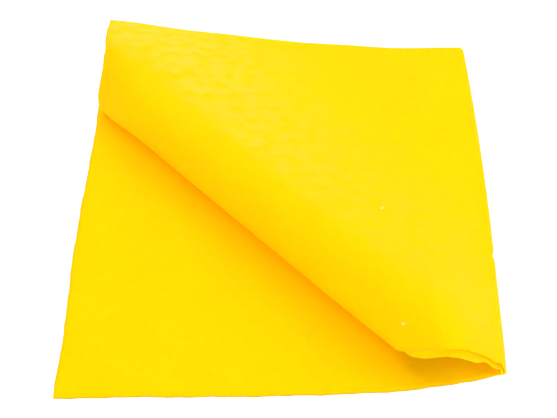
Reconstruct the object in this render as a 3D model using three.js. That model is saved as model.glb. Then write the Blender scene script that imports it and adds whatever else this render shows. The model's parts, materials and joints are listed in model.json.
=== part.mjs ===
// Cleaning cloth: one square sheet of needle-punched nonwoven, folded in four with its loose
// corner rolled under. Millimetres, +Z up, lying on z = 0. The open edges face -X and -Y, the first
// fold lies at the back (+Y) and the second fold, called the spine, lies on the right (+X).
// The sheet has four plies, counted from the table: bottom, second, third and top. The two upper
// plies are the upper leaf, which opens about the spine. The sheet is cut along its fold lines into
// separate solids, so that each stretch can move with the leaf or the corner that carries it.
import * as THREE from "three";

// Sizes of the sheet
const sheetThickness = 1.25;
const plyGap = 0.3;
const quarterWidth = 190;
const quarterLength = 190;

// Sizes of the hand folding: how far edges miss each other
const innerHalfProud = 3.7;
const upperSetback = 4.7;
const frontEdgeDraw = 8.4;
const spineBow = 2.4;
const spineBendRun = 2;
const leftEdgeSkew = 4.3;
const leftEdgeWave = 0.6;
const backCornerShiftX = 9.2;
const backCornerShiftY = 6.5;
const backShiftStart = 136;
const backShiftRun = 38;

// Sizes of the front corner at the spine, which stands off the table
const cornerLift = 4;
const cornerLiftWidth = 130;
const cornerLiftLength = 60;
const cornerPuff = 2;

// Sizes of the roll, where the loose corner turns under
const foldReach = 147.7;
const rollTopRun = 46;
const rollUnderRun = 11;
const rollSettleStart = 2;
const rollSettleEnd = 115;
const rollPanelReach = 12;
const rollSeamReach = 14;
const leftTightReach = 30;
const leftTightFade = 30;
const clearOfTuck = 0.3;

// Shares of the sizes above, and powers of the easings
const coneShare = 0.33;
const leftTightShare = 0.25;
const spineRunShare = 0.7;
const normalStepShare = 0.04;
const mergeStepShare = 0.001;
const drawPower = 5;
const spineEasePower = 0.6;
const frontCurvePower = 4;

// Colour and finish of the dyed fibre
const dyeYellow = 0xfac808;
const fibreRoughness = 0.9;

// Counts of facets
const profileSteps = 600;
const panelRows = 12;
const panelColumns = 22;
const leafCells = 10;
const rollRows = 14;
const tuckRows = 8;
const tuckColumns = 10;
const foldArcs = 4;
const foldColumns = 16;

// Heights in the flat stack, measured from the table
const plyPitch = sheetThickness + plyGap;
const lowerPairMiddle = sheetThickness + plyGap / 2;
const stackMiddle = lowerPairMiddle + plyPitch;
const upperPairMiddle = stackMiddle + plyPitch;
const innerFace = plyGap / 2;
const outerFace = innerFace + sheetThickness;
const spineInnerFace = outerFace + plyGap;
const spineOuterFace = spineInnerFace + sheetThickness;

// Lengths worked out from the sizes above
const frontMargin = quarterWidth - foldReach;
const backMargin = quarterLength - foldReach;
const spineRun = frontMargin * spineRunShare;
const backRun = backMargin * spineRunShare;
const heightOverTuck = 2 * plyPitch + clearOfTuck;
const normalStep = sheetThickness * normalStepShare;
const mergeStep = normalStep * mergeStepShare;
const cutGap = plyGap / 2;

function clamp01(value) {
  return Math.min(Math.max(value, 0), 1);
}

function smooth(value) {
  const t = clamp01(value);
  return t * t * (3 - 2 * t);
}

function mix(a, b, t) {
  return a + (b - a) * t;
}

// The roll's section. Its tangent turns half a turn: from pi under the nose, through a right angle
// at the nose, to zero on top, easing out as a square at both ends. Heights and runs are its sums.
function rollTangent(s) {
  const share = s < 0 ? 1 + s / rollUnderRun : 1 - s / rollTopRun;
  const bend = (Math.PI / 2) * clamp01(share) ** 2;
  return s < 0 ? Math.PI - bend : bend;
}

function rollSums() {
  const step = (rollTopRun + rollUnderRun) / profileSteps;
  const heights = [0];
  const runs = [0];
  for (let i = 0; i < profileSteps; i += 1) {
    const angle = rollTangent((i + 0.5) * step - rollUnderRun);
    heights.push(heights[i] + Math.sin(angle) * step);
    runs.push(runs[i] + Math.cos(angle) * step);
  }
  return { heights, runs };
}

const roll = rollSums();
const rollHeight = roll.heights[profileSteps];

function readSum(list, s) {
  const place = clamp01((s + rollUnderRun) / (rollTopRun + rollUnderRun)) * profileSteps;
  const low = Math.min(Math.floor(place), profileSteps - 1);
  return mix(list[low], list[low + 1], place - low);
}

// How much further from the fold line a point lies than its distance along the sheet
function rollOffset(s) {
  const inside = Math.min(Math.max(s, -rollUnderRun), rollTopRun);
  return readSum(roll.runs, s) - roll.runs[profileSteps] + rollTopRun - Math.abs(inside);
}

// Height of the table-side surface where the front corner at the spine stands off the table
function lift(x, y) {
  const across = smooth(1 - (quarterWidth - x) / cornerLiftWidth);
  return cornerLift * across * smooth(1 - y / cornerLiftLength);
}

// Height by which the spine's upper half stands off the lower one there, as it isn't pressed down
function puff(v) {
  return cornerPuff * smooth(1 - v / cornerLiftLength);
}

// How freely the upper leaf rises beside the spine: from 0 at the spine, bending up softly, to 1
function rise(u) {
  const inside = Math.max(quarterWidth - u, 0);
  return smooth(inside ** 2 / ((inside + spineBendRun) * spineRun)) ** spineEasePower;
}

function bow(u, v) {
  const q = v / quarterLength;
  return spineBow * 4 * q * (1 - q) * (u / quarterWidth) ** 2;
}

// Lower leaf: a point u from the left edge and v from the front edge of the quarter, at height z
function lowerPoint(u, v, z) {
  const q = v / quarterLength;
  const side = 1 - clamp01(u / quarterWidth);
  const edge = leftEdgeSkew * q - leftEdgeWave * Math.sin(2 * Math.PI * q);
  const x = u + bow(u, v) + side * edge;
  const y = v + frontEdgeDraw * clamp01(u / quarterWidth) ** drawPower * (1 - q);
  return new THREE.Vector3(x, y, z + lift(x, y));
}

// Upper leaf, at the middle between its two plies. s is the distance from the diagonal fold line,
// and the roll is a cone: wider at its front end, tighter at its left end.
function upperMiddle(u, v) {
  const q = v / quarterLength;
  const side = 1 - clamp01(u / quarterWidth);
  const s = (u + v - foldReach) / Math.SQRT2;
  const tight = leftTightShare * clamp01(1 - u / leftTightReach) ** 2 * smooth(1 - s / leftTightFade);
  const cone = 1 + coneShare * (u - v) / quarterLength - tight;
  const free = rise(u);
  const turned = (s < 0 ? -2 * s : 0) + cone * rollOffset(s / cone) * free;
  const shift = smooth((v - backShiftStart) / backShiftRun) * side;
  const draw = frontEdgeDraw * clamp01((u - foldReach) / frontMargin) ** 2 * (1 - q);
  const x = u + backCornerShiftX * shift + bow(u, v) + turned / Math.SQRT2;
  const y = v + backCornerShiftY * shift + draw + turned / Math.SQRT2;
  const rest = heightOverTuck * smooth((quarterLength - v) / backRun);
  const settle = smooth((s - rollSettleStart) / (rollSettleEnd - rollSettleStart));
  const risen = cone * readSum(roll.heights, s / cone) - (cone * rollHeight - rest) * settle;
  const height = upperPairMiddle + lift(x, y) + mix(puff(v), risen, free);
  return new THREE.Vector3(x, y, height);
}

function upperFrame(u, v) {
  const alongU = upperMiddle(u + normalStep, v).sub(upperMiddle(u - normalStep, v));
  const alongV = upperMiddle(u, v + normalStep).sub(upperMiddle(u, v - normalStep));
  const normal = new THREE.Vector3().crossVectors(alongU, alongV).normalize();
  return { middle: upperMiddle(u, v), normal, backward: alongV.normalize() };
}

// Upper leaf, at w above the middle surface, measured square to it
function upperPoint(u, v, w) {
  const frame = upperFrame(u, v);
  return frame.middle.addScaledVector(frame.normal, w);
}

// A closed solid between two skins. at(i, j, side) gives the point of row i and column j on the
// inner skin (side 0) or the outer skin (side 1). Rows or columns that shrink to a point are allowed.
function skinSolid(rows, columns, at) {
  const points = [];
  const faces = [];
  const index = (i, j, side) => (side * (rows + 1) + i) * (columns + 1) + j;
  const quad = (a, b, c, d) => faces.push([a, b, c], [a, c, d]);
  for (const side of [0, 1]) {
    for (let i = 0; i <= rows; i += 1) {
      for (let j = 0; j <= columns; j += 1) {
        points.push(at(i, j, side));
      }
    }
  }
  for (let i = 0; i < rows; i += 1) {
    for (let j = 0; j < columns; j += 1) {
      quad(index(i, j, 1), index(i + 1, j, 1), index(i + 1, j + 1, 1), index(i, j + 1, 1));
      quad(index(i, j, 0), index(i, j + 1, 0), index(i + 1, j + 1, 0), index(i + 1, j, 0));
    }
    quad(index(i, 0, 0), index(i + 1, 0, 0), index(i + 1, 0, 1), index(i, 0, 1));
    quad(index(i, columns, 0), index(i, columns, 1), index(i + 1, columns, 1), index(i + 1, columns, 0));
  }
  for (let j = 0; j < columns; j += 1) {
    quad(index(0, j, 0), index(0, j, 1), index(0, j + 1, 1), index(0, j + 1, 0));
    quad(index(rows, j, 0), index(rows, j + 1, 0), index(rows, j + 1, 1), index(rows, j, 1));
  }
  return closedGeometry(points, faces);
}

// Merges points that coincide, drops faces that shrink to nothing and turns all faces outwards
function closedGeometry(points, faces) {
  const seen = new Map();
  const merged = [];
  const renamed = points.map((point) => {
    const key = point.toArray().map((value) => Math.round(value / mergeStep)).join(",");
    if (!seen.has(key)) {
      seen.set(key, merged.length);
      merged.push(point);
    }
    return seen.get(key);
  });
  const kept = faces
    .map((face) => face.map((corner) => renamed[corner]))
    .filter(([a, b, c]) => a !== b && b !== c && c !== a);
  const volume = kept.reduce((sum, [a, b, c]) => {
    const normal = new THREE.Vector3().crossVectors(merged[b], merged[c]);
    return sum + merged[a].dot(normal);
  }, 0);
  const outward = volume < 0 ? kept.map(([a, b, c]) => [a, c, b]) : kept;
  const geometry = new THREE.BufferGeometry();
  const coordinates = merged.flatMap((point) => point.toArray());
  geometry.setAttribute("position", new THREE.Float32BufferAttribute(coordinates, 3));
  geometry.setIndex(outward.flat());
  geometry.computeVertexNormals();
  return geometry;
}

const cloth = new THREE.Group();

function addPiece(name, geometry) {
  const dyedFelt = new THREE.MeshStandardMaterial({
    color: dyeYellow,
    roughness: fibreRoughness,
    metalness: 0,
    side: THREE.DoubleSide,
  });
  const piece = new THREE.Mesh(geometry, dyedFelt);
  piece.name = name;
  cloth.add(piece);
}

// One flat ply of the lower leaf, from its front edge to the back fold and from left edge to spine
function lowerPanel(frontEdge, bottom) {
  return skinSolid(leafCells, leafCells, (i, j, side) => {
    const u = mix(0, quarterWidth - cutGap, 1 - (1 - i / leafCells) ** 2);
    const v = mix(frontEdge, quarterLength - cutGap, (j / leafCells) ** 2);
    return lowerPoint(u, v, bottom + side * sheetThickness);
  });
}

// One ply of the upper leaf behind the roll. Its rows run from the roll's line to the back and
// spine edges; its columns run from the left edge, past the back corner at the spine, to the front.
// Both plies share the lines of the grid, and only the last column follows the ply's own front edge.
function upperPanel(frontEdge, spineFrontEdge, bottom) {
  const start = foldReach + (rollPanelReach + cutGap) * Math.SQRT2;
  const spine = quarterWidth - cutGap;
  const back = quarterLength - cutGap;
  return skinSolid(panelRows, panelColumns, (i, j, side) => {
    const q = j / panelColumns;
    const t = i / panelRows;
    const onFront = j === panelColumns;
    const front = onFront ? frontEdge : upperSetback;
    const onRoll = [mix(0, start - front, q), mix(start, front, q)];
    const onBack = [mix(0, spine, 2 * q), back];
    const onSpine = [spine, mix(back, onFront ? spineFrontEdge : 0, 2 * q - 1)];
    const onEdge = q < 0.5 ? onBack : onSpine;
    const u = mix(onRoll[0], onEdge[0], t);
    const v = mix(onRoll[1], onEdge[1], onFront ? t ** frontCurvePower : t);
    return upperPoint(u, v, bottom + side * sheetThickness);
  });
}

// A strip of the upper leaf between two distances from the fold line, from left edge to front edge
function diagonalStrip(rows, columns, from, to, frontEdge, bottom) {
  return skinSolid(rows, columns, (i, j, side) => {
    const reach = foldReach + mix(from, to, i / rows) * Math.SQRT2;
    const u = mix(0, reach - frontEdge, j / columns);
    const v = mix(reach, frontEdge, j / columns);
    return upperPoint(u, v, bottom + side * sheetThickness);
  });
}

// The half-round turn of the first fold under the lower leaf or the upper leaf
function lowerBackFold() {
  return skinSolid(2 * foldArcs, 1, (i, j, side) => {
    const angle = mix(-Math.PI / 2, Math.PI / 2, i / (2 * foldArcs));
    const radius = side ? outerFace : innerFace;
    const edge = lowerPoint(mix(0, quarterWidth - cutGap, j), quarterLength, 0);
    edge.y += cutGap + radius * Math.cos(angle);
    edge.z += lowerPairMiddle + radius * Math.sin(angle);
    return edge;
  });
}

function upperBackFold() {
  return skinSolid(2 * foldArcs, foldColumns, (i, j, side) => {
    const angle = mix(-Math.PI / 2, Math.PI / 2, i / (2 * foldArcs));
    const radius = side ? outerFace : innerFace;
    const frame = upperFrame(mix(0, quarterWidth - cutGap, j / foldColumns), quarterLength);
    frame.middle.addScaledVector(frame.backward, cutGap + radius * Math.cos(angle));
    return frame.middle.addScaledVector(frame.normal, radius * Math.sin(angle));
  });
}

// A quarter turn of the second fold: the spine's half above (up = 1) or below (up = -1) the level
// at which the leaf hinges. Both halves keep clear of that level.
function spineHalf(up, inside, outside, frontEdge) {
  return skinSolid(foldArcs, foldColumns, (i, j, side) => {
    const angle = mix(0, Math.PI / 2, i / foldArcs);
    const radius = side ? outside : inside;
    const v = mix(frontEdge, quarterLength, (j / foldColumns) ** 2);
    const edge = lowerPoint(quarterWidth, v, stackMiddle);
    edge.x += cutGap + radius * Math.cos(angle);
    const height = up > 0 ? radius + puff(v) : radius;
    edge.z += up * mix(cutGap, height, Math.sin(angle));
    return edge;
  });
}

// The corner that is tucked under: a triangle from the roll's seam to the cut corner of the ply
function tuckedCorner(frontEdge, bottom) {
  const seam = -rollSeamReach - cutGap;
  const tip = (frontEdge - foldReach) / Math.SQRT2;
  return diagonalStrip(tuckRows, tuckColumns, seam, tip, frontEdge, bottom);
}

const topFrontEdge = upperSetback + innerHalfProud;
const thirdFrontEdge = upperSetback;

addPiece("bottom_panel", lowerPanel(innerHalfProud, 0));
addPiece("second_panel", lowerPanel(0, plyPitch));
addPiece("lower_back_fold", lowerBackFold());
addPiece("outer_spine_lower", spineHalf(-1, spineInnerFace, spineOuterFace, innerHalfProud));
addPiece("inner_spine_lower", spineHalf(-1, innerFace, outerFace, 0));
addPiece("outer_spine_upper", spineHalf(1, spineInnerFace, spineOuterFace, innerHalfProud));
addPiece("inner_spine_upper", spineHalf(1, innerFace, outerFace, 0));
addPiece("third_panel", upperPanel(thirdFrontEdge, 0, -outerFace));
addPiece("top_panel", upperPanel(topFrontEdge, innerHalfProud, innerFace));
addPiece("upper_back_fold", upperBackFold());

const rollSpan = [rollRows, panelColumns, -rollSeamReach, rollPanelReach];
addPiece("inner_roll", diagonalStrip(...rollSpan, thirdFrontEdge, -outerFace));
addPiece("outer_roll", diagonalStrip(...rollSpan, topFrontEdge, innerFace));
addPiece("inner_tucked_corner", tuckedCorner(thirdFrontEdge, -outerFace));
addPiece("outer_tucked_corner", tuckedCorner(topFrontEdge, innerFace));

// The origin is the middle of the cloth's outline, on the table
const outline = new THREE.Box3().setFromObject(cloth);
const centre = outline.getCenter(new THREE.Vector3());
cloth.position.set(-centre.x, -centre.y, -outline.min.z);

export default cloth;
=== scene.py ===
"""Cleaning cloth of yellow needle-punched felt, folded in four with its loose corner rolled under.

The whole sheet is one surface. A leaf is a pair of plies joined by the back fold, so a point of the
sheet is a place on the leaf's middle surface, a turn about the back fold and a distance from it.
Lengths are in metres. Shape formulas use the lower leaf's front left corner as their origin.
"""

import json
import math

import bmesh
import bpy
import numpy as np
from bpy.props import FloatProperty, FloatVectorProperty, IntProperty, PointerProperty
from mathutils import Matrix, Vector


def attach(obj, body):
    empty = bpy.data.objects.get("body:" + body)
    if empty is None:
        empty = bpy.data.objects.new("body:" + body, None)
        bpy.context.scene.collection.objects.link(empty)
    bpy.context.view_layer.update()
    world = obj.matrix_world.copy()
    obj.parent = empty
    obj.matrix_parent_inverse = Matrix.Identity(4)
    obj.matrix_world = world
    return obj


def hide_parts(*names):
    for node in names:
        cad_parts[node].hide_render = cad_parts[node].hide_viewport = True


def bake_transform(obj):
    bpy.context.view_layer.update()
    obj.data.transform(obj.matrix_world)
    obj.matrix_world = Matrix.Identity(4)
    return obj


bl_info = {
    "name": "Folded Felt Cloth",
    "version": (1, 0, 0),
    "blender": (4, 5, 0),
    "location": "View3D > Sidebar > Felt Cloth",
    "description": "Builds a folded cleaning cloth of needle-punched felt on its CAD frame",
    "category": "Add Mesh",
}

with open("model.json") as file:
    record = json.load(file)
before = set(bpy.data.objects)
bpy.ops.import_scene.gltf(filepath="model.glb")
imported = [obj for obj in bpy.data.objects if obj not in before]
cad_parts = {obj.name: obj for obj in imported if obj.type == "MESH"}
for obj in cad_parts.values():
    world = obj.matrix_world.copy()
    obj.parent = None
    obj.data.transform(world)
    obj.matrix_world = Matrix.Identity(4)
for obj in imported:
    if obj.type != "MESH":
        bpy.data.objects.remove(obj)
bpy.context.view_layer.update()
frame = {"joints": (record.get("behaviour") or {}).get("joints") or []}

UP = np.array([0.0, 0.0, 1.0])
OUT = np.array([1.0, 0.0, 0.0])
WHITE = (1.0, 1.0, 1.0, 1.0)

# How a side of a grid ends: it joins another grid, is cut, or is walled where the next piece goes on.
JOIN, CUT, WALL = 0, 1, 2

# Steps over which the roll's section is summed.
ROLL_STEPS = 600

# Grid steps down a cut edge's rounded rim, the power of its section, and how close points are merged.
RIM_STEPS = 4
RIM_POWER = 0.75
MERGE = 0.000002

# Width of each leaf's strip that belongs to the spine, half the height of its blend, and the share
# of its steps that lie within that height.
SPINE_STRIP = 0.003
HINGE_REACH = 0.0001
SPINE_WINDOW = 0.4

# Share of a leaf's width or length over which a cut edge's unevenness fades.
CUT_SHARE = 0.06

# Gentle drift of the sheet's edges: place along the edge, reach and height of each bell.
EDGE_DRIFT = {
    "lower_left": ((0.032, 0.024, 0.0012), (0.14, 0.03, 0.0007)),
    "roll_end": ((0.004, 0.009, 0.0012), (0.021, 0.006, -0.0009)),
    "back": ((0.038, 0.02, -0.0012), (0.155, 0.024, -0.0016)),
    "front": ((0.004, 0.014, -0.0008), (0.15, 0.03, -0.0008)),
    "third_front": ((0.185, 0.005, 0.0031),),
    "top_front": ((0.1845, 0.006, 0.0009),),
}

# Distance from the edge over which a drift fades.
DRIFT_FADE = {"lower_left": 0.06, "roll_end": 0.05, "back": 0.05, "front": 0.04}

# Unevenness of cut edges and ripples: wavelengths and phases of the sines that are added up.
WAVES = {
    "lower_across": ((0.041, 0.023, 0.013), (0.4, 2.1, 4.0)),
    "lower_along": ((0.052, 0.019), (1.0, 3.3)),
    "upper_across": ((0.061, 0.034, 0.017), (0.7, 1.9, 3.1)),
    "upper_along": ((0.083, 0.047, 0.021), (2.2, 0.3, 5.0)),
    "third_front": ((0.031, 0.0134, 0.0071), (0.2, 1.7, 4.4)),
    "top_front": ((0.027, 0.0117, 0.0063), (3.0, 0.6, 2.5)),
    "upper_left": ((0.034, 0.0151, 0.0078), (1.3, 4.9, 0.8)),
    "lower_left": ((0.029, 0.0128, 0.0067), (5.2, 2.4, 3.7)),
}

# Noises of the felt and its lint: scale per metre, detail, roughness and distortion.
NOISES = {
    "fibres": (2600, 5, 0.62, 1.6),
    "crossing_fibres": (2300, 5, 0.62, 1.9),
    "tufts": (620, 3, 0.55, 0.6),
    "broad": (46, 2, 0.5, 0.3),
    "patches": (300, 3, 0.6, 0.4),
    "streaks": (520, 2, 0.5, 0.0),
    "blotches": (230, 2, 0.45, 0.15),
    "lint": (2200, 2, 0.5, 0.0),
}


def joint(name):
    """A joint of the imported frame."""
    return next(j for j in frame["joints"] if j["name"] == name)


def length(name, description, default):
    """A length property in metres."""
    return FloatProperty(
        name=name, description=description, default=default, precision=5, unit="LENGTH"
    )


def number(name, description, default):
    """A plain number, such as a share, an exponent or the power of a light."""
    return FloatProperty(name=name, description=description, default=default, precision=3)


def count(name, description, default, least):
    """A whole number of grid steps."""
    return IntProperty(name=name, description=description, default=default, min=least)


def angle(name, description, degrees):
    """An angle property, given in degrees."""
    return FloatProperty(
        name=name, description=description, default=math.radians(degrees), subtype="ANGLE"
    )


def spot(name, description, default, subtype="TRANSLATION"):
    """A place, as three coordinates or as two on the flat sheet."""
    return FloatVectorProperty(
        name=name, description=description, default=default, size=len(default), precision=6, subtype=subtype
    )


def fleck(name, default):
    """A fleck's place on the flat sheet."""
    return spot(name, "Its place on the sheet", default, "XYZ")


def colour(name, description, default):
    """A linear colour property."""
    return FloatVectorProperty(
        name=name, description=description, default=default, size=3, min=0, max=1, subtype="COLOR"
    )


class SheetSizes(bpy.types.PropertyGroup):
    """Sizes of the folded sheet, the same as the CAD model's."""

    thickness: length("Thickness", "Thickness of one ply of felt", 0.00125)
    gap: length("Gap", "Air between two plies", 0.0003)
    width: length("Quarter width", "Width of the folded quarter", 0.190)
    depth: length("Quarter length", "Length of the folded quarter", 0.190)
    proud: length("Inner half proud", "How far plies two and three stand in front of one and four", 0.0037)
    setback: length("Upper setback", "How far the upper leaf's front edge is set back", 0.0047)
    draw: length("Front draw", "How far the front edge is drawn back at the spine", 0.0084)
    bow: length("Spine bow", "How far the spine bows outwards at its middle", 0.0024)
    bend: length("Spine bend", "Width beside the spine over which the leaf bends upwards", 0.002)
    skew: length("Left skew", "How far the lower leaf's left edge leans", 0.0043)
    wave: length("Left wave", "Wave of the lower leaf's left edge", 0.0006)
    corner: spot("Sheet corner", "The lower leaf's front left corner", (-0.09774860382, -0.09901638031, 0.0))
    shift_x: length("Back shift across", "How far the back left corner slid across", 0.0092)
    shift_y: length("Back shift back", "How far the back left corner slid back", 0.0065)
    shift_start: length("Back shift start", "Where that slide begins, from the front", 0.136)
    shift_run: length("Back shift run", "The length over which it grows", 0.038)
    lift: length("Corner lift", "How far the front corner at the spine stands off the table", 0.004)
    lift_width: length("Lift width", "Reach of that lift across", 0.130)
    lift_length: length("Lift length", "Reach of that lift to the back", 0.060)
    puff: length("Corner puff", "How far the spine stands open there, as it is not pressed", 0.002)


class RollSizes(bpy.types.PropertyGroup):
    """Sizes of the roll, where the loose corner turns under."""

    reach: length("Fold reach", "Where the diagonal fold line meets both edges", 0.1477)
    top: length("Top run", "Length of sheet that turns over the roll's top", 0.046)
    under: length("Under run", "Length of sheet that turns under its nose", 0.011)
    settle_start: length("Settle start", "Where the top ply begins to come down", 0.002)
    settle_end: length("Settle end", "Where it lies flat again", 0.115)
    panel_reach: length("Panel reach", "Where the roll's dense rows end", 0.012)
    seam_reach: length("Seam reach", "How far under the nose the tucked corner begins", 0.01415)
    tight_reach: length("Tight reach", "Width of the tighter left end", 0.030)
    tight_fade: length("Tight fade", "Distance over which the tight end fades", 0.030)
    clear: length("Clear of tuck", "Air over the tucked corner", 0.0003)
    cone: number("Cone", "How much wider the roll is at its front end", 0.33)
    tight: number("Tight share", "How much tighter its left end is", 0.25)
    run: number("Spine run", "Share of the margin over which the roll sinks into the spine", 0.7)
    draw_power: number("Draw power", "Power of the front edge's draw", 5.0)
    ease: number("Spine easing", "Power of the sinking into the spine", 0.6)
    curve: number("Front curve", "Power of the front edge's curve towards the spine", 4.0)


class FeltSizes(bpy.types.PropertyGroup):
    """Small shapes of the felt that the CAD model leaves out, and the steps of its grids."""

    edge_round: length("Edge rounding", "How far a cut edge bulges", 0.00022)
    edge_wobble: length("Edge wobble", "Unevenness of the cut edges", 0.00028)
    ripple: length("Ripple", "Height of the upper leaf's soft ripples", 0.00045)
    lower_ripple: length("Lower ripple", "Height of the lower leaf's ripples", 0.00007)
    square: length("Squaring", "How far the outer half is drawn forwards beside the spine", 0.0029)
    square_run: length("Squaring run", "Distance from the spine over which that fades", 0.009)
    square_top: length("Squaring top", "Distance over which it fades above the spine's middle", 0.0036)
    nick: length("Spine nick", "Depth of the small dent in the spine", 0.0009)
    nick_place: length("Nick place", "Distance of that dent from the front", 0.0618)
    nick_width: length("Nick width", "Half width of that dent", 0.0016)
    across: count("Columns", "Grid columns over one ply", 100, 20)
    arcs: count("Fold steps", "Grid steps round the back fold", 12, 6)
    panel_rows: count("Panel rows", "Grid rows behind the roll", 62, 20)
    tuck_rows: count("Tuck rows", "Grid rows of the tucked corner", 44, 12)


class LintSizes(bpy.types.PropertyGroup):
    """Stray pale fibres on the top ply, lying in four flecks."""

    first: fleck("First fleck", (0.1409, 0.0805))
    second: fleck("Second fleck", (0.1462, 0.0215))
    third: fleck("Third fleck", (0.1622, 0.0240))
    fourth: fleck("Fourth fleck", (0.1552, 0.1272))
    strand: length("Strand", "Length of one stray fibre", 0.0013)
    radius: length("Strand radius", "Radius of one stray fibre", 0.00008)
    spread: length("Spread", "How far the fibres of a fleck lie apart", 0.00016)
    steps: count("Strand steps", "Points along one fibre", 22, 8)


class FeltLook(bpy.types.PropertyGroup):
    """Colours and finish of the felt."""

    dye: colour("Dye", "Yellow of the dyed fibre", (0.98, 0.533, 0.0))
    pale: colour("Pale dye", "Paler yellow where fibres lie thin", (0.985, 0.563, 0.0005))
    deep: colour("Deep dye", "Deeper yellow in the needle holes", (0.96, 0.473, 0.0))
    # Painted sheen: a paler, slightly blue yellow that stands in for the highlight along the roll's crest.
    painted_sheen: colour("Painted_sheen", "Pale yellow of the raised fibre behind the roll", (0.94, 0.565, 0.052))
    # Cut edge: the darker yellow of cut fibre ends, also used as painted shade, for the contact shadow along
    # the lower leaf's edges and the shade along the top ply's front edge.
    cut: colour("Cut edge", "Darker yellow of the cut fibre ends", (0.33, 0.225, 0.006))
    lint: colour("Lint", "Pale tone of the stray fibres", (0.95, 0.91, 0.52))
    roughness: number("Roughness", "Roughness of the fibre", 0.78)
    streaks: number("Streaks", "Share of the long streaks in the paler clouds", 0.25)
    holes: number("Needle holes", "Share of the deeper yellow in a needle hole", 0.35)
    relief: number("Relief", "Strength of the fibre relief", 0.55)
    bump: length("Fibre height", "Height of the fibre relief", 0.00012)


class StageSizes(bpy.types.PropertyGroup):
    """Camera, light and floor."""

    camera_place: spot("Camera place", "Place of the camera", (-0.000698, -0.248699, 0.398461))
    pitch: angle("Pitch", "How far the camera looks down", 58.449)
    yaw: angle("Yaw", "Turn to the right", -0.277)
    roll: angle("Roll", "Roll of the camera", 0.257)
    lens: number("Lens", "Focal length in millimetres", 63.222)
    sky: number("Sky", "Strength of the white surround", 0.08)
    back_left: number("Back left light", "Power of the high light", 8.0)
    back: number("Back light", "Power of the light behind", 9.2)
    right: number("Right light", "Power of the light on the right", 11.5)
    front: number("Front light", "Power of the light in front", 12.0)
    front_high: number("High front light", "Power of the light above it", 3.5)
    front_left: number("Front left light", "Power of the weak fill", 3.0)
    light_size: length("Light size", "Side of each square light", 0.8)
    table_size: length("Table size", "Half the side of the table top", 2.0)
    table_drop: length("Table drop", "How far the table lies below the cloth", 0.00002)
    floor: colour("Floor", "Colour of the table", (0.75, 0.75, 0.75))
    floor_glow: number("Floor glow", "Light of the table itself, as on a light table", 0.46)


def smooth(x):
    """Eased step: 3 x squared minus 2 x cubed, with x held between 0 and 1."""
    x = np.clip(x, 0.0, 1.0)
    return x * x * (3.0 - 2.0 * x)


def unit(v):
    """Vectors divided by their lengths."""
    return v / np.linalg.norm(v, axis=-1, keepdims=True)


def mix(a, b, t):
    """The straight line from a at t = 0 to b at t = 1."""
    return a + (b - a) * t


def bells(x, name):
    """Sum of bell curves: for each one its height times e to the minus square of distance over reach."""
    return sum(height * np.exp(-(((x - place) / reach) ** 2)) for place, reach, height in EDGE_DRIFT[name])


def drift(name, along, inward):
    """Drift of an edge: its bells, faded by an eased step over the distance inward from it."""
    return bells(along, name) * (1 - smooth(inward / DRIFT_FADE[name]))


def uneven(x, name):
    """Sum of sines with the named wavelengths, longer ones higher, scaled to stay within -1 to 1."""
    wavelengths, phases = (np.array(values) for values in WAVES[name])
    heights = np.sqrt(wavelengths / wavelengths.max())
    waves = heights * np.sin(2 * np.pi * x[..., None] / wavelengths + phases)
    return waves.sum(-1) / heights.sum()


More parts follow.
